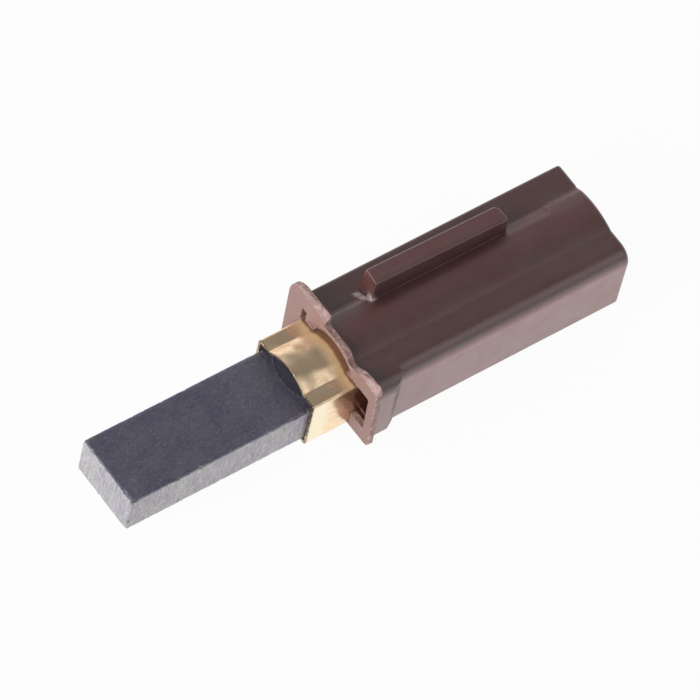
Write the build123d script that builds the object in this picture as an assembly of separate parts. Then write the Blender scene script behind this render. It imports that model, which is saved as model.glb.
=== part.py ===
from build123d import *
import math
import os

# Carbon brush in a moulded holder, millimetres.
# The origin is on the axis of the brass tube, in the plane of the flange's rear face.
# The carbon points toward -X, the connector pocket is on the -Y side, the rib is on top (+Z).

# Carbon block
carbon_width = 11.0
carbon_height = 6.45
carbon_length = 36.0
carbon_exposed = 27.56
carbon_edge_radius = 0.5
carbon_tip_radius = 0.3
hump_lead = 0.19
hump_width = 7.1
hump_play = 0.12
hump_front_radius = 6.4

# Brass tube, folded round the carbon
sheet = 0.4
carbon_side_play = 0.2
carbon_bottom_play = 0.08
ledge_gap = 1.125
tube_proud = 6.74
tube_bend_radius = 0.45
tube_shoulder_radius = 0.5
arch_rise = 1.5
arch_chord = 7.6
tube_fit = 0.05

# Sleeve of the housing: roofs are measured from the ledge of the tube
body_length = 41.5
body_side_wall = 2.025
body_floor = 1.0
body_rear_wall = 1.3
body_bottom_radius = 0.6
body_rear_radius = 0.5
far_roof = 1.95
far_edge_radius = 0.5
groove_y = 4.1
groove_roof = 1.77
groove_slope_width = 1.1
back_crest_y = 0.7
back_roof = 1.1
back_radius = 10.0
near_roof = 1.6
near_corner_radius = 2.3

# Rib on the back of the sleeve, and the flat behind it
rib_front_x = 7.8
rib_length = 21.0
rib_near_y = 2.9
rib_width = 2.5
rib_front_height = 5.55
rib_rear_height = 4.9
rib_front_skew = 0.25
rib_near_draft = 0.45
rib_far_draft = 0.1
rib_front_draft = 0.5
rib_rear_draft = 0.2
rib_far_rear_radius = 0.9
rib_near_rear_radius = 0.4
rib_edge_radius = 0.2
flat_length = 6.8
flat_near_y = 1.7
flat_end_radius = 0.9

# Flange: heights are measured from the ledge of the tube, overhangs from the sides of the sleeve
flange_thickness = 0.9
far_corner_rise = 0.6
flange_far_top_overhang = 1.575
flange_far_bottom_overhang = 1.075
far_wing_height = 4.95
far_wing_radius = 2.9
wing_step_y = 1.9
middle_height = 3.25
middle_end_y = -2.75
middle_end_radius = 1.2
valley_y = -4.1
valley_height = 1.75
valley_radius = 0.8
near_wing_y = -6.4
near_wing_start_height = 3.05
near_wing_height = 3.5
near_wing_radius = 1.5
flange_near_top_overhang = 1.625
flange_near_bottom_overhang = 2.225
near_corner_rise = 0.9
flange_corner_radius = 0.6
bevel_width = 4.1
bevel_start_height = 2.85
bevel_end_height = 2.3
flange_edge_radius = 0.25

# Funnel round the arch of the tube, and the hole at its far corner
funnel_depth = 0.6
funnel_growth = 1.2
funnel_floor_height = 0.25
corner_hole_overhang = 0.3
corner_hole_width = 0.9
corner_hole_height = 1.75
corner_hole_depth = 2.9

# Connector pocket beside the tube, and the foot that widens the sleeve round it
pocket_top_width = 2.45
pocket_bottom_width = 2.75
pocket_height = 6.2
pocket_rise = 0.05
pocket_mouth_depth = 1.5
throat_width = 2.3
throat_depth = 4.5
slot_width = 1.15
slot_depth = 12.9
slot_margin = 0.5
pocket_corner_radius = 0.35
foot_overhang = 1.0
foot_straight = 3.2
foot_slope = 1.7

# Inside: end plate, spring, pigtail
end_plate_thickness = 0.5
end_plate_play = 0.06
wire_diameter = 0.5
coil_diameter = 6.6
coil_turns = 17
shunt_diameter = 1.8
shunt_offset = 1.1
shunt_bend_radius = 9.0
tamp_diameter = 2.9
tamp_depth = 6.0
tamp_play = 0.02
solder_diameter = 3.4
solder_height = 0.7
solder_tip_margin = 0.1

# Worked out from the sizes above
tube_mouth_x = -flange_thickness - tube_proud
carbon_tip_x = tube_mouth_x - carbon_exposed
carbon_rear_x = carbon_tip_x + carbon_length
hump_front_x = tube_mouth_x - hump_lead
tube_rear_x = body_length - body_rear_wall
end_plate_x = tube_rear_x - end_plate_thickness
tube_half = carbon_width / 2 + carbon_side_play + sheet
tube_bottom_z = -carbon_height / 2 - carbon_bottom_play - sheet
tube_ledge_z = carbon_height / 2 + ledge_gap + sheet
arch_radius = ((arch_chord / 2) ** 2 + arch_rise ** 2) / (2 * arch_rise)
arch_centre_z = tube_ledge_z + arch_rise - arch_radius
spring_z = (tube_bottom_z + tube_ledge_z + arch_rise) / 2 - carbon_bottom_play / 2
body_half = tube_half + body_side_wall
body_bottom_z = tube_bottom_z - body_floor
far_flat_z = tube_ledge_z + far_roof
near_flat_z = tube_ledge_z + near_roof
groove_floor_z = tube_ledge_z + groove_roof
groove_top_y = groove_y - groove_slope_width
back_crest_z = tube_ledge_z + arch_rise + back_roof
back_centre_z = back_crest_z - back_radius
rib_rear_x = rib_front_x + rib_length
pocket_inner_y = -tube_half - tube_fit
foot_outer_y = -body_half - foot_overhang


def side_plane(x):
    """YZ plane at x. Its local axes are Y and Z and it looks toward +X."""
    return Plane.YZ.offset(x)


def block(x0, x1, y0, y1, z0, z1):
    """Box between two opposite corners."""
    size = (x1 - x0, y1 - y0, z1 - z0)
    centre = ((x0 + x1) / 2, (y0 + y1) / 2, (z0 + z1) / 2)
    return Pos(*centre) * Box(*size)


def rounded_outline(corners):
    """Flat face from corners (u, v, radius), each rounded by its own radius."""
    face = make_face(Polyline(*[(u, v) for u, v, radius in corners], close=True))
    for u, v, radius in corners:
        if radius > 0:
            corner = min(face.vertices(), key=lambda vertex: math.hypot(vertex.X - u, vertex.Y - v))
            face = fillet(corner, radius)
    return face


def disc_above(radius, centre_y, centre_z, floor_z, half_width):
    """Part of a disc above floor_z and within half_width of its centre."""
    window_height = centre_z + radius - floor_z + 1
    window = Pos(centre_y, floor_z + window_height / 2) * Rectangle(2 * half_width, window_height)
    return (Pos(centre_y, centre_z) * Circle(radius)) & window


def tube_section(growth):
    """Section of the brass tube, grown outward by growth (inward when negative)."""
    half = tube_half + growth
    bottom = tube_bottom_z - growth
    ledge = tube_ledge_z + growth
    bend = max(tube_bend_radius + growth, 0.2)
    walls = rounded_outline([
        (-half, bottom, bend),
        (half, bottom, bend),
        (half, ledge, bend),
        (-half, ledge, bend),
    ])
    arch = disc_above(arch_radius + growth, 0, arch_centre_z, ledge - arch_rise, half - bend)
    section = walls + arch
    shoulder_y = math.sqrt((arch_radius + growth) ** 2 - (ledge - arch_centre_z) ** 2)
    for side in (-shoulder_y, shoulder_y):
        shoulder = min(section.vertices(), key=lambda vertex: math.hypot(vertex.X - side, vertex.Y - ledge))
        section = fillet(shoulder, tube_shoulder_radius - growth)
    return section


def make_carbon():
    """Carbon block with the raised back that slides under the arch."""
    section = RectangleRounded(carbon_width, carbon_height, carbon_edge_radius)
    bar = extrude(side_plane(carbon_tip_x) * section, carbon_length)
    bar = fillet(bar.faces().sort_by(Axis.X)[0].edges(), carbon_tip_radius)

    hump_radius = arch_radius - sheet - hump_play
    hump_section = disc_above(hump_radius, 0, arch_centre_z, 0, hump_width / 2)
    hump = extrude(side_plane(hump_front_x) * hump_section, carbon_rear_x - hump_front_x)
    nose_x = hump_front_x + hump_front_radius
    nose = Pos(nose_x, 0, hump_radius / 2) * Cylinder(hump_front_radius, 2 * hump_radius)
    trunk = block(nose_x, nose_x + carbon_length, -hump_width, hump_width, 0, 2 * hump_radius)
    hump = hump & (nose + trunk)

    hole = extrude(side_plane(carbon_rear_x) * (Pos(0, spring_z) * Circle(tamp_diameter / 2)), -tamp_depth)
    return bar + hump - hole


def make_tamped_copper():
    """Ring of pressed copper powder between the pigtail and the carbon."""
    ring = Circle(tamp_diameter / 2 - tamp_play) - Circle(shunt_diameter / 2 + tamp_play)
    return extrude(side_plane(carbon_rear_x - tamp_depth) * (Pos(0, spring_z) * ring), tamp_depth)


def make_tube():
    """Folded sheet brass guide, open at both ends."""
    sheet_section = tube_section(0) - tube_section(-sheet)
    return extrude(side_plane(tube_mouth_x) * sheet_section, tube_rear_x - tube_mouth_x)


def make_end_plate():
    """Brass plate inside the rear end of the tube."""
    section = tube_section(-sheet - end_plate_play)
    return extrude(side_plane(end_plate_x) * section, end_plate_thickness)


def make_spring():
    """Compression spring from the carbon's rear face to the end plate."""
    wire_radius = wire_diameter / 2
    start_x = carbon_rear_x + wire_radius
    length = end_plate_x - wire_radius - start_x
    place = Plane(origin=(start_x, 0, spring_z), x_dir=(0, 1, 0), z_dir=(1, 0, 0))
    path = Helix(pitch=length / coil_turns, height=length, radius=coil_diameter / 2)
    section = Plane(origin=path @ 0, z_dir=path % 0) * Circle(wire_radius)
    return place * sweep(section, path=path)


def shunt_route():
    """Centre line of the pigtail: straight ends joined by one gentle S of tangent arcs."""
    start_x = carbon_rear_x - tamp_depth
    end_x = end_plate_x - solder_height
    swing = math.acos(1 - shunt_offset / 2 / shunt_bend_radius)
    reach = 2 * shunt_bend_radius * math.sin(swing)
    lead = (end_x - carbon_rear_x - 2 * reach) / 3
    centre_plane = Plane(origin=(0, 0, spring_z), x_dir=(1, 0, 0), z_dir=(0, 0, 1))
    out_x = carbon_rear_x + lead
    back_x = out_x + reach + lead
    aside = (out_x + reach, shunt_offset)
    straight_in = Line((start_x, 0), (out_x, 0))
    bend_out = TangentArc((out_x, 0), (out_x + reach / 2, shunt_offset / 2), tangent=(1, 0))
    settle = TangentArc((out_x + reach / 2, shunt_offset / 2), aside, tangent=bend_out % 1)
    middle = Line(aside, (back_x, shunt_offset))
    bend_back = TangentArc((back_x, shunt_offset), (back_x + reach / 2, shunt_offset / 2), tangent=(1, 0))
    return_end = (back_x + reach, 0)
    level = TangentArc((back_x + reach / 2, shunt_offset / 2), return_end, tangent=bend_back % 1)
    straight_out = Line(return_end, (end_x, 0))
    route = Wire([straight_in.edge(), bend_out.edge(), settle.edge(), middle.edge(),
                  bend_back.edge(), level.edge(), straight_out.edge()])
    return centre_plane * route


def make_shunt():
    """Braided copper pigtail, drawn as one round cord."""
    start_x = carbon_rear_x - tamp_depth
    section = side_plane(start_x) * (Pos(0, spring_z) * Circle(shunt_diameter / 2))
    return sweep(section, path=shunt_route())


def make_solder():
    """Low cone of solder between pigtail and end plate."""
    cone = Cone(solder_diameter / 2, shunt_diameter / 2 + solder_tip_margin, solder_height)
    return Plane(origin=(end_plate_x - solder_height / 2, 0, spring_z), z_dir=(-1, 0, 0)) * cone


def body_outline():
    """Outline of the sleeve, seen from its rear end."""
    near_y = back_crest_y - math.sqrt(back_radius ** 2 - (near_flat_z - back_centre_z) ** 2)
    top_z = back_centre_z + math.sqrt(back_radius ** 2 - (groove_top_y - back_crest_y) ** 2)
    low = rounded_outline([
        (-body_half, body_bottom_z, body_bottom_radius),
        (body_half, body_bottom_z, body_bottom_radius),
        (body_half, far_flat_z, far_edge_radius),
        (groove_y, far_flat_z, 0),
        (groove_y, groove_floor_z, 0),
        (groove_top_y, top_z, 0),
        (groove_top_y, near_flat_z, 0),
        (near_y, near_flat_z, 0),
        (-body_half, near_flat_z, near_corner_radius),
    ])
    window = Pos((near_y + groove_top_y) / 2, near_flat_z + 1) * Rectangle(groove_top_y - near_y, 2)
    return low + ((Pos(back_crest_y, back_centre_z) * Circle(back_radius)) & window)


def make_sleeve():
    """Long part of the housing, closed at the rear."""
    sleeve = extrude(side_plane(0) * body_outline(), body_length)
    rear_edges = sleeve.faces().sort_by(Axis.X)[-1].edges()
    return fillet(rear_edges, body_rear_radius)


def make_rib():
    """Rib on the back, with drafted sides, a slanted front and a top that falls toward the rear."""
    base_z = tube_ledge_z + groove_roof / 2
    top_z = tube_ledge_z + rib_front_height
    far_y = rib_near_y + rib_width
    side = make_face(Polyline(
        (rib_front_x - rib_width, base_z),
        (rib_rear_x + rib_rear_draft, base_z),
        (rib_rear_x, tube_ledge_z + rib_rear_height),
        (rib_front_x - rib_width, top_z),
        close=True,
    ))
    end = make_face(Polyline(
        (rib_near_y - rib_near_draft, base_z),
        (far_y + rib_far_draft, base_z),
        (far_y, top_z),
        (rib_near_y, top_z),
        close=True,
    ))
    long_shape = extrude(Plane.XZ.offset(-body_half) * side, 2 * body_half)
    cross_shape = extrude(side_plane(-body_length) * end, 2 * body_length)
    rib = long_shape & cross_shape

    far_top = Vector(rib_front_x, far_y, top_z)
    near_top = Vector(rib_front_x - rib_front_skew, rib_near_y, top_z)
    near_low = Vector(rib_front_x - rib_front_skew - rib_front_draft, rib_near_y, base_z)
    rearward = (near_low - near_top).cross(far_top - near_top)
    rib = split(rib, bisect_by=Plane(origin=near_top, z_dir=rearward), keep=Keep.TOP)

    rear_edges = rib.faces().sort_by(Axis.X)[-1].edges().filter_by(Axis.Z, tolerance=20).sort_by(Axis.Y)
    rib = fillet(rear_edges[-1], rib_far_rear_radius)
    rear_edges = rib.edges().filter_by(Axis.Z, tolerance=20).sort_by(Axis.X)[-3:].sort_by(Axis.Y)
    rib = fillet(rear_edges[0], rib_near_rear_radius)
    return fillet(rib.faces().sort_by(Axis.Z)[-1].edges(), rib_edge_radius)


def make_back_flat():
    """Slanted flat that is cut in the back behind the rib, with a rounded end."""
    front_x = rib_rear_x - rib_far_rear_radius
    height = back_roof + arch_rise
    section = make_face(Polyline(
        (groove_y, groove_floor_z),
        (groove_y, groove_floor_z + height),
        (flat_near_y, groove_floor_z + height),
        (flat_near_y, back_crest_z),
        close=True,
    ))
    cutter = extrude(side_plane(front_x) * section, rib_rear_x + flat_length - front_x)
    end_edges = cutter.edges().filter_by(Axis.Z).sort_by(Axis.X)[-2:]
    return fillet(end_edges, flat_end_radius)


def make_foot():
    """Widening of the sleeve round the connector pocket."""
    plan = make_face(Polyline(
        (0, -body_half + near_corner_radius),
        (0, foot_outer_y),
        (foot_straight, foot_outer_y),
        (foot_straight + foot_slope, -body_half),
        (foot_straight + foot_slope, -body_half + near_corner_radius),
        close=True,
    ))
    column = extrude(Plane.XY.offset(body_bottom_z) * plan, near_flat_z - body_bottom_z)
    shape = rounded_outline([
        (foot_outer_y, body_bottom_z, body_bottom_radius),
        (0, body_bottom_z, 0),
        (0, near_flat_z, 0),
        (foot_outer_y, near_flat_z, near_corner_radius),
    ])
    return column & extrude(side_plane(0) * shape, foot_straight + foot_slope)


def make_flange():
    """Flange plate with its far wing, middle, valley and near wing."""
    near_top_y = -body_half - flange_near_top_overhang
    near_wing_z = tube_ledge_z + near_wing_height
    far_wing_z = tube_ledge_z + far_wing_height
    middle_z = tube_ledge_z + middle_height
    outline = rounded_outline([
        (-body_half - flange_near_bottom_overhang, body_bottom_z + near_corner_rise, flange_corner_radius),
        (body_half + flange_far_bottom_overhang, body_bottom_z + far_corner_rise, flange_corner_radius),
        (body_half + flange_far_top_overhang, far_wing_z, far_wing_radius),
        (wing_step_y, far_wing_z, 0),
        (wing_step_y, middle_z, 0),
        (middle_end_y, middle_z, middle_end_radius),
        (valley_y, tube_ledge_z + valley_height, valley_radius),
        (near_wing_y, tube_ledge_z + near_wing_start_height, near_wing_radius),
        (near_top_y, near_wing_z, flange_corner_radius),
    ])
    plate = extrude(side_plane(-flange_thickness) * outline, flange_thickness)
    start = Vector(-flange_thickness, near_top_y + bevel_width, tube_ledge_z + bevel_start_height)
    end = Vector(-flange_thickness, near_top_y, tube_ledge_z + bevel_end_height)
    rear = Vector(0, near_top_y, near_wing_z)
    outward = (rear - start).cross(end - start)
    plate = split(plate, bisect_by=Plane(origin=start, z_dir=outward), keep=Keep.TOP)

    def is_outer(edge):
        place = edge.center()
        on_far_wing = place.Y > wing_step_y + flange_edge_radius
        return place.Z < 0 or on_far_wing or place.Y < near_top_y + bevel_width / 4

    front = plate.faces().sort_by(Axis.X)[0]
    return fillet(front.edges().filter_by(is_outer), flange_edge_radius)


def make_funnel():
    """Tapered mouth that is cut in the flange round the arch of the tube."""
    inner = arch_radius + tube_fit
    cone = Cone(inner + funnel_growth, inner, funnel_depth)
    place = Plane(origin=(-flange_thickness + funnel_depth / 2, 0, arch_centre_z), z_dir=(1, 0, 0))
    floor_z = tube_ledge_z + funnel_floor_height
    window = block(-flange_thickness, 0, -tube_half, tube_half, floor_z, floor_z + arch_chord)
    return (place * cone) & window


def make_pocket():
    """Hollow for the connector: a wide mouth, a throat and a narrow slot behind it."""
    top_z = tube_ledge_z + tube_fit + pocket_rise
    bottom_z = top_z - pocket_height
    mouth_section = rounded_outline([
        (pocket_inner_y, bottom_z, 0),
        (pocket_inner_y, top_z, 0),
        (pocket_inner_y - pocket_top_width, top_z, pocket_corner_radius),
        (pocket_inner_y - pocket_bottom_width, bottom_z, pocket_corner_radius),
    ])
    mouth = extrude(side_plane(-flange_thickness) * mouth_section, pocket_mouth_depth)
    throat = block(-flange_thickness, throat_depth - flange_thickness, pocket_inner_y - throat_width,
                   pocket_inner_y, bottom_z + slot_margin / 2, top_z - slot_margin / 2)
    slot = block(-flange_thickness, slot_depth - flange_thickness, pocket_inner_y - slot_width,
                 pocket_inner_y, bottom_z + slot_margin, top_z - slot_margin)
    return mouth + throat + slot


def make_corner_hole():
    """Small hole through the flange at the far upper corner of the tube."""
    far_y = tube_half + corner_hole_overhang
    low_z = tube_ledge_z - tube_bend_radius
    return block(-flange_thickness, corner_hole_depth - flange_thickness, far_y - corner_hole_width, far_y,
                 low_z, tube_ledge_z + corner_hole_height)


def make_housing():
    """The moulded holder, one piece."""
    housing = make_sleeve() - make_back_flat() + make_rib() + make_foot() + make_flange()
    length = tube_rear_x + flange_thickness
    cavity = extrude(side_plane(-flange_thickness) * tube_section(tube_fit), length)
    below_tube = block(-flange_thickness, tube_rear_x, -body_half, body_half, body_bottom_z, tube_bottom_z)
    return housing - (cavity - below_tube) - make_funnel() - make_pocket() - make_corner_hole()


parts = {
    "housing": make_housing(),
    "brass_tube": make_tube(),
    "tube_end_plate": make_end_plate(),
    "carbon_block": make_carbon(),
    "tamped_copper": make_tamped_copper(),
    "shunt": make_shunt(),
    "shunt_solder": make_solder(),
    "brush_spring": make_spring(),
}

os.makedirs("parts", exist_ok=True)
for name, shape in parts.items():
    export_step(shape, f"parts/{name}.step")
    box = shape.bounding_box()
    print(name, "solids", len(shape.solids()), "volume", round(shape.volume, 2), box.min, box.max)
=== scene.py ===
import bpy
import bmesh
import math
from mathutils import Matrix, Vector, noise


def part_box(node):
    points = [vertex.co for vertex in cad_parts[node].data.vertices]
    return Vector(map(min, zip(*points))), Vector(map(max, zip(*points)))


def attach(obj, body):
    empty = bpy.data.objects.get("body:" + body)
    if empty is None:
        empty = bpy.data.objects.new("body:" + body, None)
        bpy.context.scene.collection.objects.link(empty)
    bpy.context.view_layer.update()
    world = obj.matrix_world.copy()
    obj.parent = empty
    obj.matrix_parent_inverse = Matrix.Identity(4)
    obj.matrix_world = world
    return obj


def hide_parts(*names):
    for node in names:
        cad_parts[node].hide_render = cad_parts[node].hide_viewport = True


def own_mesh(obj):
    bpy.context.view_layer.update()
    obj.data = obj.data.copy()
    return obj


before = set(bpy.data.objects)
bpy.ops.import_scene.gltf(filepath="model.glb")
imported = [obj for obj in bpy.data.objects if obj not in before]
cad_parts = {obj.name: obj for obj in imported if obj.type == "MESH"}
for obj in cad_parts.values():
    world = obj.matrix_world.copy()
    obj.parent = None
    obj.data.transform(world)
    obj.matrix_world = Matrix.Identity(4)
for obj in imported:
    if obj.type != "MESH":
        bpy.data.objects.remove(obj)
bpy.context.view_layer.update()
MM = 0.001
full_turn = 2 * math.pi
up = Vector((0, 0, 1))
down = Vector((0, 0, -1))
white = (1.0, 1.0, 1.0, 1.0)

# Places and travel that the frame gives
housing_low, housing_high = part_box("housing")
mouth_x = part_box("brass_tube")[0][0]
pigtail_low, pigtail_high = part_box("shunt")
pigtail_z = (pigtail_low[2] + pigtail_high[2]) / 2

# Camera, solved from the straight edges of the carbon and the holder
camera_place = Vector((-421.9, -388.0, 823.5)) * MM
camera_right = Vector((0.8059, -0.5738, 0.1457))
camera_up = Vector((0.4135, 0.7218, 0.5550))
camera_back = Vector((-0.4236, -0.3870, 0.8190))
focal_pixels = 7847
frame_pixels = 700
sensor_mm = 36.0
clip_near = 0.05
clip_far = 20

# Studio: the floor is bright and the room above the part is dim
floor_half = 3.0
floor_gap = 0.02 * MM
floor_paint = (0.9, 0.9, 0.9, 1.0)
floor_roughness = 0.9
floor_seen = 0.95
floor_mirrored = 1.0
room_light = 1.0
horizon_band = 0.25
zenith_height = 0.72
zenith_shade = 0.24
near_side_shade = 0.45
near_side_from = -0.7
near_side_to = 0.1
lamp_place = Vector((-0.80, -0.06, 0.40))
lamp_along = up.cross(lamp_place)
lamp_size = 0.6
lamp_power = 6.2
strip_place = Vector((0.34, -0.47, 0.50))
strip_along = Vector((0.0, -0.73, -0.69))
strip_length = 0.45
strip_width = 0.3
strip_power = 0.34

# Carbon: grid of the worn surface, depth of its grain and of the chips along its edges
same_place = 0.001 * MM
carbon_grid = 0.17 * MM
carbon_skin = 0.03 * MM
carbon_grain = 0.02 * MM
grain_per_mm = 2.2
grain_falloff = 0.6
grain_steps = 2.0
grain_octaves = 3
crumble_per_mm = 1.1
fine_crumble_per_mm = 3.1
fine_crumble_share = 0.6
crumble_least = 0.15
chip_reach = 0.6 * MM
chip_depth = 0.34 * MM
corner_chip_reach = 1.9 * MM
corner_chip_share = 0.9

# Fillet at the foot of the step between the far roof and the back of the sleeve
step_y = 4.1 * MM
fillet_near = 0.42 * MM
fillet_far = 0.25 * MM
fillet_skirt = 0.4 * MM
fillet_sag = 0.02 * MM
fillet_root = 0.25 * MM
fillet_lift = 0.008 * MM
fillet_sink = 0.03 * MM
fillet_spacing = 0.3 * MM
fillet_sharp = math.radians(60)
rib_foot_front_x = 7.1 * MM
rib_foot_rear_x = 28.7 * MM

# Flash: thin bead of plastic left along the front edge of the flange's top
flash_floor = 6.6 * MM
flash_step = 0.12 * MM
flash_thickness = 0.28 * MM
flash_sides = 6
flash_taper = 12
flash_end_share = 0.2
flash_mean = 0.55
flash_least = 0.12
flash_waves = ((0.9, 0.9), (0.6, 2.7))
flash_set_back = 0.3
flash_sunk = 0.5
front_tolerance = 0.01 * MM
front_facing_x = -0.9
top_facing_x = -0.75
top_facing_z = -0.05

# Spring and pigtail inside the tube
wire = 0.5 * MM
wire_inset = 0.01 * MM
wire_sides = 8
spring_turns = 16
closed_turn_pitch = 0.52 * MM
steps_per_turn = 28
pigtail_offset = 1.1 * MM
pigtail_leaves_x = 9.4 * MM
pigtail_returns_x = 24.2 * MM
pigtail_bend = 6.2 * MM
pigtail_probe = 0.1 * MM
braid_radius = 0.76 * MM
braid_weave = 0.05 * MM
braid_pitch = 8.0 * MM
braid_strands = 6
strand_width = 0.6 * MM
strand_thickness = 0.08 * MM
strand_step = 0.12 * MM
core_radius = 0.66 * MM
core_sides = 16
core_step = 4 * strand_step

# Where the plastic changes and where light and shade are painted on it: places in millimetres, and parts
# of the direction that it faces
rib_z = (7.0, 7.5)
plastic_side_facing = (-0.9, -0.99)
plastic_side_z = (6.5, 5.5)
far_slope_facing = (0.3, 0.55)
far_slope_z = (7.6, 7.3)
beside_rib_x = (8.5, 27.0)
beside_rib_y = (1.6, 2.6)
flange_plate_x = (0.05, -0.02)
flange_rim_facing = (0.95, 0.65)
foot_x = (2.8, 5.4)
foot_facing = (0.15, 0.4)
scrape_x = 6.75
scrape_y = 3.7
scrape_slant = 0.5
scrape_limits_y = (2.6, 4.7)
scrape_reach = (0.75, 0.15)
scrape_z = (8.2, 7.2)
plastic_edge = 0.22 * MM
plastic_relief = 0.03 * MM

# Where the brass changes and where light and shade are painted on it: millimetres before the flange,
# behind the mouth and off the middle
brass_side_facing = (-0.7, -0.95)
clear_of_flange = (3.0, 5.0)
painted_reflection_before_flange = (2.4, 0.6)
painted_shadow_before_flange = (0.35, -0.1)
cut_edge_depth = (0.2, 0.05)
arch_half_width = (3.6, 4.3)
edge_shade_on_arch = 0.35
brass_edge = 0.1 * MM
brass_relief = 0.06 * MM

# Where light and shade are painted on the carbon: its dark top, lighter toward the tube, and its shaded
# raised back with the foot of that back
top_facing = (0.3, 0.85)
back_foot_x = (-12.8, -12.2)
back_half_width = (4.6, 4.2)
back_foot_z = (2.9, 3.05)
back_foot_facing = (0.96, 0.88)
back_z = (3.225, 3.275)
toward_tube_x = (-18.0, -11.5)
carbon_edge = 0.2 * MM
carbon_relief = 0.05 * MM

# Depth of the relief on the pieces inside the tube
braid_relief = 0.03 * MM
powder_relief = 0.05 * MM
wire_relief = 0.01 * MM
solder_relief = 0.05 * MM


class Value:
    """A node socket with operators, so that shader maths reads as arithmetic."""

    def __init__(self, tree, socket):
        self.tree = tree
        self.socket = socket

    def _math(self, operation, left, right=0.0, clamp=False):
        node = self.tree.nodes.new("ShaderNodeMath")
        node.operation = operation
        node.use_clamp = clamp
        for index, item in enumerate((left, right)):
            if isinstance(item, Value):
                self.tree.links.new(item.socket, node.inputs[index])
            else:
                node.inputs[index].default_value = item
        return Value(self.tree, node.outputs[0])

    def __add__(self, other):
        return self._math("ADD", self, other)

    def __radd__(self, other):
        return self._math("ADD", other, self)

    def __sub__(self, other):
        return self._math("SUBTRACT", self, other)

    def __rsub__(self, other):
        return self._math("SUBTRACT", other, self)

    def __mul__(self, other):
        return self._math("MULTIPLY", self, other)

    def __rmul__(self, other):
        return self._math("MULTIPLY", other, self)

    def __abs__(self):
        return self._math("ABSOLUTE", self)

    def clamped(self):
        return self._math("ADD", self, 0.0, clamp=True)


class Shading:
    """A node tree, with one method that adds any node to it."""

    def __init__(self, tree):
        self.tree = tree

    def node(self, kind, settings=None, output=0, **inputs):
        """Add a node, set its settings, then the values or links of its sockets."""
        node = self.tree.nodes.new(kind)
        for key, value in (settings or {}).items():
            if key == "stops":
                for element, (position, shade) in zip(node.color_ramp.elements, value):
                    element.position = position
                    element.color = shade
            else:
                setattr(node, key, value)
        for key, value in inputs.items():
            numbered = key[0] == "i" and key[1:].isdigit()
            socket = node.inputs[int(key[1:]) if numbered else key.replace("_", " ")]
            if isinstance(value, Value):
                self.tree.links.new(value.socket, socket)
            else:
                socket.default_value = value
        return Value(self.tree, node.outputs[output])

    def component(self, vector, axis):
        """The X, Y or Z of a vector."""
        return self.node("ShaderNodeSeparateXYZ", output=axis, Vector=vector)

    def fade(self, value, start, end, low=0.0):
        """Low at start and 1 at end, smooth between."""
        return self.node("ShaderNodeMapRange", {"interpolation_type": "SMOOTHSTEP"}, Value=value,
                         From_Min=start, From_Max=end, To_Min=low, To_Max=1.0)

    def between(self, value, limits, soft):
        """1 inside two limits and 0 outside, with soft ends."""
        low, high = limits
        return self.fade(value, low - soft, low) * self.fade(value, high + soft, high)


class Finish(Shading):
    """A material built round one Principled shader."""

    def __init__(self, name, **constants):
        self.material = bpy.data.materials.new(name)
        self.material.use_nodes = True
        super().__init__(self.material.node_tree)
        self.shader = self.tree.nodes["Principled BSDF"]
        for socket, value in constants.items():
            self.shader.inputs[socket.replace("_", " ")].default_value = value

    def feed(self, socket, value):
        self.tree.links.new(value.socket, self.shader.inputs[socket])

    def place(self, stretch=(1, 1, 1)):
        """Place on the part in millimetres, times a stretch along each axis."""
        start = self.node("ShaderNodeTexCoord", output="Object")
        scale = tuple(share / MM for share in stretch)
        return self.node("ShaderNodeVectorMath", {"operation": "MULTIPLY"}, i0=start, i1=scale)

    def along(self, axis):
        """Place along one axis, in millimetres."""
        return self.component(self.place(), axis)

    def surface_direction(self):
        return self.node("ShaderNodeNewGeometry", output="True Normal")

    def facing(self, axis):
        """One component of the direction that the surface faces."""
        return self.component(self.surface_direction(), axis)

    def noise(self, scale, detail, roughness, stretch=(1, 1, 1), distortion=0.0):
        return self.node("ShaderNodeTexNoise", Vector=self.place(stretch), Scale=scale, Detail=detail,
                         Roughness=roughness, Distortion=distortion)

    def mix(self, factor, first, second):
        return self.node("ShaderNodeMix", {"data_type": "RGBA"}, output=2, i0=factor, i6=first, i7=second)

    def over(self, tone, shade, mask, strength):
        """A tone with a shade laid over it where the mask is."""
        return self.mix(mask * strength, tone, shade)

    def rounded(self, radius):
        """Surface direction as if every edge had this radius."""
        return self.node("ShaderNodeBevel", {"samples": 6}, Radius=radius)

    def edges(self, radius, gain):
        """1 along sharp edges, 0 on flat faces."""
        match = self.node("ShaderNodeVectorMath", {"operation": "DOT_PRODUCT"}, output="Value",
                          i0=self.rounded(radius), i1=self.surface_direction())
        return ((1 - match) * gain).clamped()

    def relief(self, height, distance, radius=None):
        """Bump from a height, over edges of the given radius."""
        inputs = {"Height": height, "Strength": 1.0, "Distance": distance}
        if radius:
            inputs["Normal"] = self.rounded(radius)
        self.feed("Normal", self.node("ShaderNodeBump", **inputs))


def colour(red, green, blue):
    """Linear colour from 8-bit display values."""
    def linear(channel):
        channel = channel / 255
        return channel / 12.92 if channel <= 0.04045 else ((channel + 0.055) / 1.055) ** 2.4
    return (linear(red), linear(green), linear(blue), 1.0)


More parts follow.
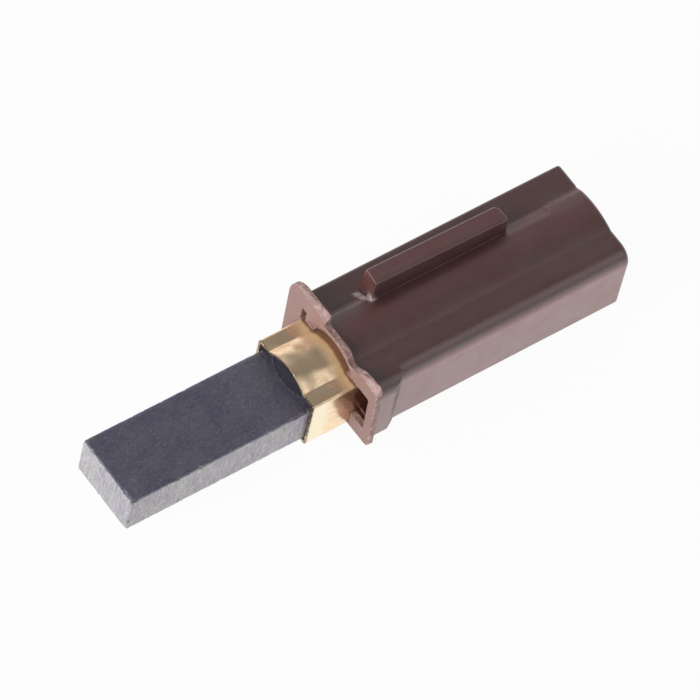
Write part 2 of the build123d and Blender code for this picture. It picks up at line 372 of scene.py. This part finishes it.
def moulded_plastic():
    """Reddish brown moulding: cloudy, with light edges painted as highlight and wear, a flange painted
    paler for light, a scrape, and painted light and shade on the rib, the sides and the foot.
    """
    finish = Finish("reddish brown moulding", IOR=1.8, Coat_Roughness=0.3, Coat_IOR=1.6)
    x = finish.along("X")
    y = finish.along("Y")
    z = finish.along("Z")
    sideways = finish.facing("Y")
    endways = finish.facing("X")

    clouds = finish.noise(0.28, detail=4, roughness=0.6, distortion=0.6)
    flow = finish.noise(0.9, detail=4, roughness=0.6, stretch=(0.22, 1, 1))
    grain = finish.noise(7.0, detail=3, roughness=0.7)
    body = finish.mix(finish.fade(clouds, 0.35, 0.65), colour(79, 32, 29), colour(74, 37, 38))
    body = finish.over(body, colour(92, 54, 52), finish.fade(flow, 0.4, 0.72), 0.4)
    body = finish.over(body, colour(106, 70, 68), finish.fade(grain, 0.42, 0.75), 0.3)
    body = finish.over(body, colour(40, 18, 16), finish.fade(grain, 0.5, 0.25), 0.4)

    # Painted light: the plastic above rib_z, on the rib, is painted a lighter red.
    body = finish.over(body, colour(112, 58, 52), finish.fade(z, *rib_z), 0.4)
    # Painted light: the lower near side, facing -Y, is painted a lighter red.
    painted_lit_side = finish.fade(sideways, *plastic_side_facing) * finish.fade(z, *plastic_side_z)
    body = finish.over(body, colour(138, 58, 50), painted_lit_side, 0.8)
    # Painted light: the far slope, turned part way toward +Y below z 7.3 mm, is painted a lighter red; it
    # also loses most of its coat.
    far_slope_painted_light = finish.between(sideways, far_slope_facing, 0.1) * finish.fade(z, *far_slope_z)
    body = finish.over(body, colour(98, 44, 42), far_slope_painted_light, 0.5)
    # Painted shade: a dark band along the roof beside the rib's near side, which also loses some coat.
    shade_beside_rib = finish.between(x, beside_rib_x, 2.5) * finish.between(y, beside_rib_y, 1.0)
    body = finish.over(body, colour(30, 12, 12), shade_beside_rib, 0.5)

    # Painted light: the whole flange is painted paler, for the light on its front face; it is also rougher
    # and has no coat.
    plate = finish.fade(x, *flange_plate_x)
    body = finish.over(body, colour(172, 138, 132), plate, 0.6)
    rim = plate * finish.fade(abs(endways), *flange_rim_facing)
    blotches = finish.noise(1.1, detail=5, roughness=0.65, distortion=0.8)
    pale = finish.mix(finish.fade(blotches, 0.38, 0.64), colour(146, 108, 102), colour(208, 176, 168))
    body = finish.over(body, pale, rim, 0.85)

    # Painted highlight and wear: light colour along sharp edges, broken up by noise.
    edge_highlight_and_wear = finish.fade(finish.noise(1.6, detail=3, roughness=0.6), 0.3, 0.6)
    body = finish.over(body, colour(176, 124, 110), finish.edges(plastic_edge, 3.0) * edge_highlight_and_wear, 0.6)

    off_scrape = abs((x - scrape_x) + (y - scrape_y) * scrape_slant)
    flakes = finish.noise(2.6, detail=4, roughness=0.7, stretch=(1, 0.5, 1), distortion=1.5)
    scrape = finish.between(y, scrape_limits_y, 0.4) * finish.fade(off_scrape, *scrape_reach)
    scrape = scrape * finish.fade(z, *scrape_z) * finish.fade(flakes, 0.38, 0.5)
    body = finish.over(body, colour(205, 186, 186), scrape, 0.9)
    # Painted shade: the foot's slope by the flange, turned toward +X, is painted darker; it is also
    # rougher with less coat.
    shaded_foot = finish.between(x, foot_x, 0.2) * finish.fade(endways, *foot_facing)
    body = finish.over(body, colour(60, 34, 32), shaded_foot, 0.25)

    finish.feed("Base Color", body)
    finish.feed("Roughness", 0.34 + 0.14 * finish.fade(clouds, 0.3, 0.7) + 0.22 * plate + 0.25 * shaded_foot)
    gloss = (1 - plate) * (1 - 0.5 * shaded_foot) * (1 - 0.4 * shade_beside_rib) * (1 - 0.8 * far_slope_painted_light)
    finish.feed("Coat Weight", 0.9 * gloss)
    height = 0.6 * grain + 1.4 * flow + 2.0 * rim * blotches + scrape * flakes
    finish.relief(height, plastic_relief, plastic_edge)
    return finish.material


def rolled_brass():
    """Bright rolled sheet: a little wavy, with painted highlights on its edges and near side, less
    metallic with a painted reflection by the flange, a painted shadow at the flange, and painted shade on
    its cut edge.
    """
    finish = Finish("rolled brass")
    x = finish.along("X")
    before_flange = housing_low[0] / MM - x
    behind_mouth = x - mouth_x / MM
    off_middle = abs(finish.along("Y"))

    waves = finish.noise(0.36, detail=0.0, roughness=0.4)
    lines = finish.noise(4.0, detail=2, roughness=0.5, stretch=(0.08, 1, 1))
    spots = finish.noise(1.3, detail=3, roughness=0.5)
    tone = finish.mix(finish.fade(spots, 0.35, 0.7), colour(255, 229, 194), colour(249, 216, 176))
    # Painted highlight: pale colour along the sheet's sharp edges.
    tone = finish.over(tone, colour(255, 242, 222), finish.edges(brass_edge, 4.0), 0.6)

    # Painted highlight: the near side, away from the flange, is painted paler and brighter.
    painted_lit_side = finish.fade(finish.facing("Y"), *brass_side_facing)
    painted_highlight_side = painted_lit_side * finish.fade(before_flange, *clear_of_flange)
    tone = finish.over(tone, colour(255, 245, 214), painted_highlight_side, 0.8)
    # Painted reflection: near the flange the brass is painted a paler cream and made less metallic, in
    # place of the flange's mirrored colour.
    painted_reflection_near_flange = finish.fade(before_flange, *painted_reflection_before_flange) * (1 - painted_lit_side)
    tone = finish.mix(painted_reflection_near_flange, tone, colour(248, 218, 168))
    # Painted shadow: a dark brown band right at the flange, off the near side.
    painted_shadow_at_flange = finish.fade(before_flange - 0.4 * spots, *painted_shadow_before_flange) * (1 - painted_lit_side)
    tone = finish.over(tone, colour(120, 74, 48), painted_shadow_at_flange, 0.8)

    # Painted shade: an uneven dark band along the cut edge at the mouth, weaker on the arch.
    broken_edge_shade = finish.fade(finish.noise(4.0, detail=3, roughness=0.7), 0.36, 0.5)
    beside_arch = edge_shade_on_arch + (1 - edge_shade_on_arch) * finish.fade(off_middle, *arch_half_width)
    shaded_cut_edge = finish.fade(behind_mouth, *cut_edge_depth) * broken_edge_shade * beside_arch
    tone = finish.over(tone, colour(96, 76, 62), shaded_cut_edge, 0.85)

    finish.feed("Base Color", tone)
    finish.feed("Metallic", 1 - 0.5 * painted_reflection_near_flange)
    finish.feed("Roughness", 0.26 + 0.08 * finish.fade(spots, 0.3, 0.7) + 0.12 * painted_reflection_near_flange)
    finish.relief(waves * 6.0 + lines * 0.04, brass_relief, brass_edge)
    return finish.material


def pressed_carbon():
    """Pressed graphite with flecks, streaks and chipped edges: a dull top painted dark and sides painted
    bright for light, painted highlight and wear on its edges, painted shade on its raised back.
    """
    finish = Finish("pressed carbon", Metallic=0.75, IOR=1.8)
    x = finish.along("X")
    z = finish.along("Z")
    off_middle = abs(finish.along("Y"))
    upright = finish.facing("Z")
    near_back = finish.fade(x, *back_foot_x) * finish.fade(off_middle, *back_half_width)
    near_back = near_back * finish.fade(z, *back_foot_z)
    # The painted dark top covers faces turned up and the raised back; the other faces get the painted
    # bright side.
    painted_dark_top = (finish.fade(upright, *top_facing) + near_back).clamped()

    grain = finish.noise(6.0, detail=4, roughness=0.75)
    flecks = finish.noise(3.0, detail=3, roughness=0.7, stretch=(0.6, 1.3, 1), distortion=1.6)
    streaks = finish.noise(2.0, detail=4, roughness=0.75, stretch=(1.4, 1.4, 0.4), distortion=0.6)
    clouds = finish.fade(finish.noise(0.35, detail=3, roughness=0.5), 0.35, 0.65)
    # Painted shade: the dark tone of the top, with the carbon's own flecks and grain.
    top = finish.mix(clouds, colour(104, 101, 122), colour(112, 110, 124))
    # Painted light: the top is painted lighter toward the tube.
    top = finish.over(top, colour(140, 137, 152), finish.fade(x, *toward_tube_x), 0.35)
    top = finish.over(top, colour(160, 156, 168), finish.fade(flecks, 0.54, 0.66), 0.5)
    top = finish.over(top, colour(68, 66, 80), finish.fade(flecks, 0.46, 0.36), 0.5)
    top = finish.over(top, colour(52, 50, 60), finish.fade(grain, 0.44, 0.32), 0.6)
    # Painted light: the bright tone of the sides, with the carbon's own streaks and grain.
    side = finish.mix(clouds, colour(176, 172, 182), colour(186, 184, 184))
    side = finish.over(side, colour(226, 222, 228), finish.fade(streaks, 0.52, 0.62), 0.55)
    side = finish.over(side, colour(124, 118, 130), finish.fade(streaks, 0.44, 0.34), 0.6)
    side = finish.over(side, colour(84, 80, 90), finish.fade(grain, 0.36, 0.28), 0.7)
    tone = finish.mix(painted_dark_top, side, top)

    chips = finish.node("ShaderNodeAttribute", {"attribute_name": "chip"}, output=2)
    crumbs = finish.fade(grain, 0.4, 0.6)
    broken = finish.mix(crumbs, colour(38, 36, 44), colour(150, 146, 156))
    tone = finish.over(tone, broken, finish.fade(chips, 0.1, 0.4), 0.85)
    # Painted highlight and wear: light colour along sharp edges, broken up by grain, off the raised back.
    edges = finish.edges(carbon_edge, 2.5) * finish.fade(grain, 0.42, 0.58)
    tone = finish.over(tone, colour(204, 200, 208), edges * (1 - near_back), 0.45)
    # Painted shade: the raised back and the ring at its foot are painted dark and mottled; they are also
    # rougher.
    shaded_back_foot = near_back * finish.fade(upright, *back_foot_facing)
    back = (finish.fade(z, *back_z) + shaded_back_foot).clamped()
    shaded_rough_back = finish.mix(crumbs, colour(30, 28, 36), colour(62, 60, 70))
    tone = finish.over(tone, shaded_rough_back, back, 0.9)

    finish.feed("Base Color", tone)
    finish.feed("Roughness", 0.4 + 0.16 * finish.fade(grain, 0.35, 0.65) + 0.4 * back)
    height = grain * 1.4 + flecks * 1.4 + streaks * (1 - painted_dark_top) * 3.0
    finish.relief(height, carbon_relief)
    return finish.material


def copper_braid():
    """Bright fine wires that run along the pigtail's strands."""
    finish = Finish("copper braid", Metallic=1.0)
    wires = finish.noise(9.0, detail=2, roughness=0.5, stretch=(0.3, 1, 1))
    finish.feed("Base Color", finish.mix(wires, colour(196, 118, 84), colour(236, 170, 132)))
    finish.feed("Roughness", 0.28 + 0.2 * wires)
    finish.relief(wires, braid_relief)
    return finish.material


def tamped_powder():
    """Dull copper powder, packed into grains."""
    finish = Finish("tamped copper powder", Metallic=0.8)
    grains = finish.noise(8.0, detail=3, roughness=0.7)
    finish.feed("Base Color", finish.mix(grains, colour(120, 68, 48), colour(206, 140, 110)))
    finish.feed("Roughness", 0.5 + 0.3 * grains)
    finish.relief(grains, powder_relief)
    return finish.material


def spring_wire():
    """Bright drawn steel."""
    finish = Finish("bright spring wire", Metallic=1.0)
    drawn = finish.noise(6.0, detail=3, roughness=0.6)
    finish.feed("Base Color", finish.mix(drawn, colour(168, 168, 172), colour(206, 206, 210)))
    finish.feed("Roughness", 0.2 + 0.18 * drawn)
    finish.relief(drawn, wire_relief)
    return finish.material


def soft_solder():
    """Satin grey metal with soft ripples."""
    finish = Finish("soft solder", Metallic=1.0)
    ripples = finish.noise(2.0, detail=3, roughness=0.5)
    finish.feed("Base Color", finish.mix(ripples, colour(176, 178, 180), colour(222, 222, 222)))
    finish.feed("Roughness", 0.25 + 0.25 * ripples)
    finish.relief(ripples, solder_relief)
    return finish.material


def paint(node, material):
    """Give a CAD node its finish."""
    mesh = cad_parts[node].data
    mesh.materials.clear()
    mesh.materials.append(material)


def new_piece(name, shape, material, body, node=None):
    """Turn a bmesh into a piece that rides on a body and may stand for a node."""
    mesh = bpy.data.meshes.new(name)
    shape.to_mesh(mesh)
    shape.free()
    piece = bpy.data.objects.new(name, mesh)
    bpy.context.scene.collection.objects.link(piece)
    mesh.materials.append(material)
    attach(piece, body)
    if node:
        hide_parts(node)
    return piece


def shorten_with_slide(piece):
    """Give a piece its own copy of its mesh; nothing here makes it shorter as the carbon goes in."""
    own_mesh(piece)


def merged_copy(node):
    """Copy of a node's mesh with its loose triangles joined."""
    shape = bmesh.new()
    shape.from_mesh(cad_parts[node].data)
    bmesh.ops.remove_doubles(shape, verts=shape.verts, dist=same_place)
    return shape


def even_grid(shape, size):
    """The same form on an even grid of small faces."""
    mesh = bpy.data.meshes.new("rough form")
    shape.to_mesh(mesh)
    shape.free()
    holder = bpy.data.objects.new("rough form", mesh)
    bpy.context.scene.collection.objects.link(holder)
    remesh = holder.modifiers.new("even grid", "REMESH")
    remesh.mode = "VOXEL"
    remesh.voxel_size = size
    graph = bpy.context.evaluated_depsgraph_get()
    result = bpy.data.meshes.new_from_object(holder.evaluated_get(graph))
    bpy.data.objects.remove(holder)
    even = bmesh.new()
    even.from_mesh(result)
    return even


def smooth_faces(shape):
    for face in shape.faces:
        face.smooth = True


def wrap_skin(shape, rings):
    """Bend a grid round rings of corners, then close its seam and both ends."""
    sides = len(rings[0])
    lengths = len(rings) - 1
    one_step_per_corner = Matrix.Diagonal((sides, lengths, 1, 1)) @ Matrix.Translation((0.5, 0.5, 0))
    grid = bmesh.ops.create_grid(shape, x_segments=sides, y_segments=lengths, size=0.5,
                                 matrix=one_step_per_corner)
    for vertex in grid["verts"]:
        ring = rings[round(vertex.co.y)]
        vertex.co = ring[round(vertex.co.x) % sides]
    bmesh.ops.remove_doubles(shape, verts=grid["verts"], dist=same_place)
    open_edges = [edge for edge in shape.edges if edge.is_boundary]
    bmesh.ops.holes_fill(shape, edges=open_edges, sides=sides)


def stations(start, end, spacing, fewest=1):
    """Even places from start to end, about one spacing apart."""
    count = max(fewest, round((end - start) / spacing))
    return [start + (end - start) * index / count for index in range(count + 1)]


def worn_carbon(material):
    """The carbon with a grained skin and chipped edges in front of the tube."""
    low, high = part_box("carbon_block")
    shoulder_z = -low[2]
    corner = Vector((low[0], low[1], shoulder_z))
    shape = even_grid(merged_copy("carbon_block"), carbon_grid)
    shape.normal_update()
    chip = shape.verts.layers.float.new("chip")
    for vertex in shape.verts:
        place = vertex.co
        millimetres = place / MM
        walls = sorted((place.x - low[0], place.y - low[1], high[1] - place.y,
                        place.z - low[2], abs(shoulder_z - place.z)))
        grain = noise.fractal(millimetres * grain_per_mm, grain_falloff, grain_steps, grain_octaves)
        depth = carbon_skin + carbon_grain * grain
        if place.x < mouth_x:
            near_edge = max(0.0, 1 - walls[1] / chip_reach)
            at_corner = max(0.0, 1 - (place - corner).length / corner_chip_reach)
            fine_crumble = noise.noise(millimetres * fine_crumble_per_mm)
            crumble = noise.noise(millimetres * crumble_per_mm) + fine_crumble_share * fine_crumble
            bite = near_edge * max(0.0, crumble - crumble_least + corner_chip_share * at_corner)
            depth += chip_depth * bite
            vertex[chip] = bite
        vertex.co = place - vertex.normal * max(0.0, depth)
    smooth_faces(shape)
    new_piece("worn_carbon", shape, material, "brush", "carbon_block")


def coil_spring(material):
    """Compression spring with closed end turns, between the carbon and the end plate."""
    low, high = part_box("brush_spring")
    centre_y = (low[1] + high[1]) / 2
    centre_z = (low[2] + high[2]) / 2
    radius = (high[1] - low[1]) / 2 - wire / 2
    open_length = (high[0] - low[0]) - wire - 2 * closed_turn_pitch
    shape = bmesh.new()
    ring = bmesh.ops.create_circle(shape, cap_ends=True, radius=wire / 2 - wire_inset, segments=wire_sides)
    start = Matrix.Translation((low[0] + wire / 2, centre_y + radius, centre_z))
    bmesh.ops.transform(shape, matrix=start, verts=ring["verts"])
    last = shape.verts[:] + shape.edges[:] + shape.faces[:]
    closed_turn = (1, closed_turn_pitch)
    open_turns = (spring_turns, open_length / spring_turns)
    for turns, pitch in (closed_turn, open_turns, closed_turn):
        spun = bmesh.ops.spin(shape, geom=last, cent=(0, centre_y, centre_z), axis=(1, 0, 0),
                              dvec=(pitch / steps_per_turn, 0, 0), angle=turns * full_turn,
                              steps=turns * steps_per_turn, use_merge=False, use_duplicate=False)
        last = spun["geom_last"]
    bmesh.ops.recalc_face_normals(shape, faces=shape.faces)
    for face in shape.faces:
        face.smooth = len(face.verts) == 4
    piece = new_piece("coil_spring", shape, material, "holder", "brush_spring")
    shorten_with_slide(piece)


def eased(share):
    """0 to 1 with level ends."""
    share = min(max(share, 0.0), 1.0)
    return share * share * (3 - 2 * share)


def pigtail_centre(x):
    """Centre line of the pigtail: straight ends and a middle set aside, joined by bends."""
    out = eased((x - pigtail_leaves_x) / pigtail_bend)
    back = eased((x - pigtail_returns_x) / pigtail_bend)
    return Vector((x, pigtail_offset * (out - back), pigtail_z))


def on_pigtail(x, angle, radius):
    """A place round the centre line, and the direction away from it."""
    along = (pigtail_centre(x + pigtail_probe) - pigtail_centre(x - pigtail_probe)).normalized()
    away = up.cross(along) * math.cos(angle) + up * math.sin(angle)
    return pigtail_centre(x) + away * radius, away


def core_ring(x):
    """Corners round the pigtail's core."""
    angles = [full_turn * side / core_sides for side in range(core_sides)]
    return [on_pigtail(x, angle, core_radius)[0] for angle in angles]


def strand_ring(x, hand, number):
    """Corners of one flat strand, which goes over and under the strands of the other hand."""
    turn = full_turn * x / braid_pitch
    angle = hand * turn + full_turn * number / braid_strands
    next_angle = angle + hand * full_turn * strand_step / braid_pitch
    radius = braid_radius + hand * braid_weave * math.cos(2 * braid_strands * turn)
    place, away = on_pigtail(x, angle, radius)
    ahead, _ = on_pigtail(x + strand_step, next_angle, radius)
    across = away.cross(ahead - place).normalized() * strand_width / 2
    lift = away * strand_thickness / 2
    return [place - across - lift, place + across - lift, place + across + lift, place - across + lift]


def braided_pigtail(material):
    """Pigtail of flat strands woven round a core, from the carbon to the solder."""
    shape = bmesh.new()
    wrap_skin(shape, [core_ring(x) for x in stations(pigtail_low[0], pigtail_high[0], core_step)])
    along_strand = stations(pigtail_low[0], pigtail_high[0], strand_step)
    for hand in (-1, 1):
        for number in range(braid_strands):
            wrap_skin(shape, [strand_ring(x, hand, number) for x in along_strand])
    bmesh.ops.recalc_face_normals(shape, faces=shape.faces)
    piece = new_piece("braided_pigtail", shape, material, "holder", "shunt")
    shorten_with_slide(piece)


def front_edge_links():
    """The neighbours of each place along the front edge of the flange's top."""
    shape = merged_copy("housing")
    shape.normal_update()
    links = {}
    for edge in shape.edges:
        ends = [tuple(vertex.co) for vertex in edge.verts]
        at_front = all(abs(x - housing_low[0]) < front_tolerance and z > flash_floor for x, _, z in ends)
        if not at_front or len(edge.link_faces) != 2:
            continue
        front, top = sorted((face.normal for face in edge.link_faces), key=lambda normal: normal.x)
        if front.x < front_facing_x and top.x > top_facing_x and top.z > top_facing_z:
            for place, other in (ends, ends[::-1]):
                links.setdefault(place, []).append(other)
    shape.free()
    return links


def flange_front_edge():
    """Places along the front edge of the flange's top, from the far wing to the near one."""
    links = front_edge_links()
    loose = [place for place, others in links.items() if len(others) == 1]
    chains = []
    seen = set()
    for place in sorted(loose, key=lambda place: -place[1]):
        if place in seen:
            continue
        chain = []
        following = [place]
        while following:
            chain.append(Vector(following[0]))
            seen.add(following[0])
            following = [other for other in links[following[0]] if other not in seen]
        chains.append(chain)
    return max(chains, key=lambda chain: sum((b - a).length for a, b in zip(chain, chain[1:])))


def evenly(route, step):
    """The same route with a place at every step."""
    places = [route[0]]
    left = step
    for start, end in zip(route, route[1:]):
        length = (end - start).length
        at = left
        while at <= length and length > 0:
            places.append(start.lerp(end, at / length))
            at += step
        left = at - length
    return places


def flash_ring(places, index):
    """Corners round the flash at one place: it swells and thins, and tapers at both ends."""
    place = places[index]
    before = places[max(index - 1, 0)]
    after = places[min(index + 1, len(places) - 1)]
    along = (after - before).normalized()
    outward = along.cross(Vector((-1, 0, 0))).normalized()
    if outward.z < 0:
        outward = -outward
    from_end = min(index, len(places) - 1 - index) / flash_taper
    swell = flash_mean
    for share, per_mm in flash_waves:
        swell += share * noise.noise(place / MM * per_mm)
    radius = flash_thickness * max(flash_least, swell) * min(1.0, flash_end_share + from_end)
    centre = place + Vector((flash_set_back, 0, 0)) * radius - outward * radius * flash_sunk
    ring = []
    for side in range(flash_sides):
        turn = full_turn * side / flash_sides
        reach = Vector((-math.cos(turn), 0, 0)) + outward * math.sin(turn)
        corner = centre + reach * radius
        corner.z = min(corner.z, housing_high[2])
        ring.append(corner)
    return ring


def flash_bead(material):
    """Uneven bead of flash along the front edge of the flange's top."""
    places = evenly(flange_front_edge(), flash_step)
    shape = bmesh.new()
    wrap_skin(shape, [flash_ring(places, index) for index in range(len(places))])
    bmesh.ops.recalc_face_normals(shape, faces=shape.faces)
    smooth_faces(shape)
    new_piece("flash_bead", shape, material, "holder")


def roof_height(x, y):
    """Height of the housing's outer surface at a place."""
    above = Vector((x, y, housing_high[2] + MM))
    _, place, _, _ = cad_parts["housing"].ray_cast(above, down)
    return place.z


def fillet_ring(x):
    """Corners round the step's fillet, whose thin skirts run out on the roof."""
    far_y = step_y + fillet_far
    near_y = step_y - fillet_near
    skirt_y = near_y - fillet_skirt
    upper = roof_height(x, far_y)
    return [(x, far_y + fillet_skirt, upper - fillet_sink),
            (x, far_y, upper + fillet_lift),
            (x, step_y, upper - fillet_sag),
            (x, near_y, roof_height(x, near_y) + fillet_lift),
            (x, skirt_y, roof_height(x, skirt_y) - fillet_sink),
            (x, step_y, upper - fillet_root)]


def step_fillet(name, start_x, end_x, material):
    """Fillet in the inner corner along the step of the roof."""
    shape = bmesh.new()
    wrap_skin(shape, [fillet_ring(x) for x in stations(start_x, end_x, fillet_spacing, fewest=2)])
    bmesh.ops.recalc_face_normals(shape, faces=shape.faces)
    smooth_faces(shape)
    for edge in shape.edges:
        edge.smooth = edge.calc_face_angle(0) < fillet_sharp
    new_piece(name, shape, material, "holder")


def set_camera():
    """Camera at the angle of the photograph."""
    data = bpy.data.cameras.new("camera")
    data.sensor_width = sensor_mm
    data.lens = focal_pixels / frame_pixels * sensor_mm
    data.clip_start = clip_near
    data.clip_end = clip_far
    camera = bpy.data.objects.new("camera", data)
    bpy.context.scene.collection.objects.link(camera)
    turn = Matrix((camera_right, camera_up, camera_back)).transposed()
    camera.matrix_world = Matrix.Translation(camera_place) @ turn.to_4x4()
    bpy.context.scene.camera = camera


def set_floor():
    """Pale floor that shows white to the camera and in reflections, and keeps a faint shadow."""
    mesh = bpy.data.meshes.new("floor")
    shape = bmesh.new()
    bmesh.ops.create_grid(shape, x_segments=1, y_segments=1, size=floor_half)
    bmesh.ops.translate(shape, verts=shape.verts, vec=(0, 0, housing_low[2] - floor_gap))
    shape.to_mesh(mesh)
    shape.free()
    floor = bpy.data.objects.new("floor", mesh)
    bpy.context.scene.collection.objects.link(floor)
    finish = Finish("floor", Base_Color=floor_paint, Roughness=floor_roughness)
    seen = finish.node("ShaderNodeLightPath", output="Is Camera Ray")
    mirrored = finish.node("ShaderNodeLightPath", output="Is Glossy Ray")
    share = finish.node("ShaderNodeMath", {"operation": "MAXIMUM"}, i0=seen * floor_seen,
                        i1=mirrored * floor_mirrored)
    painted = Value(finish.tree, finish.shader.outputs[0])
    glow = finish.node("ShaderNodeEmission", Color=white, Strength=1.0)
    surface = finish.node("ShaderNodeMixShader", i0=share, i1=painted, i2=glow)
    finish.tree.links.new(surface.socket, finish.tree.nodes["Material Output"].inputs[0])
    floor.data.materials.append(finish.material)


def set_world():
    """Soft room light: white round the horizon, dim overhead and toward the near side."""
    world = bpy.data.worlds.new("studio")
    bpy.context.scene.world = world
    world.use_nodes = True
    room = Shading(world.node_tree)
    direction = room.node("ShaderNodeTexCoord", output="Generated")
    dim = (zenith_shade, zenith_shade, zenith_shade, 1.0)
    stops = ((horizon_band, white), (zenith_height, dim))
    by_height = room.node("ShaderNodeValToRGB", {"stops": stops}, i0=room.component(direction, "Z"))
    by_side = room.fade(room.component(direction, "Y"), near_side_from, near_side_to, near_side_shade)
    shade = room.node("ShaderNodeVectorMath", {"operation": "SCALE"}, i0=by_height, Scale=by_side)
    background = world.node_tree.nodes["Background"]
    world.node_tree.links.new(shade.socket, background.inputs[0])
    background.inputs[1].default_value = room_light


def area_lamp(name, outline, place, along, length, width, power):
    """Soft light that faces the part, with its length along a direction."""
    data = bpy.data.lights.new(name, "AREA")
    data.shape = outline
    data.size = length
    data.size_y = width
    data.energy = power
    light = bpy.data.objects.new(name, data)
    bpy.context.scene.collection.objects.link(light)
    back = place.normalized()
    side = (along - back * along.dot(back)).normalized()
    turn = Matrix((side, back.cross(side), back)).transposed()
    light.matrix_world = Matrix.Translation(place) @ turn.to_4x4()


set_camera()
set_floor()
set_world()
area_lamp("soft light in front of the carbon", "DISK",
          lamp_place, lamp_along, lamp_size, lamp_size, lamp_power)
area_lamp("strip light on the near side", "RECTANGLE",
          strip_place, strip_along, strip_length, strip_width, strip_power)

plastic = moulded_plastic()
paint("housing", plastic)
brass_sheet = rolled_brass()
paint("brass_tube", brass_sheet)
paint("tube_end_plate", brass_sheet)
paint("tamped_copper", tamped_powder())
paint("shunt_solder", soft_solder())
worn_carbon(pressed_carbon())
coil_spring(spring_wire())
braided_pigtail(copper_braid())
flash_bead(plastic)
step_fillet("front_step_fillet", 0, rib_foot_front_x, plastic)
step_fillet("rear_step_fillet", rib_foot_rear_x, housing_high[0] - fillet_far, plastic)

bpy.context.scene.view_settings.view_transform = "Standard"
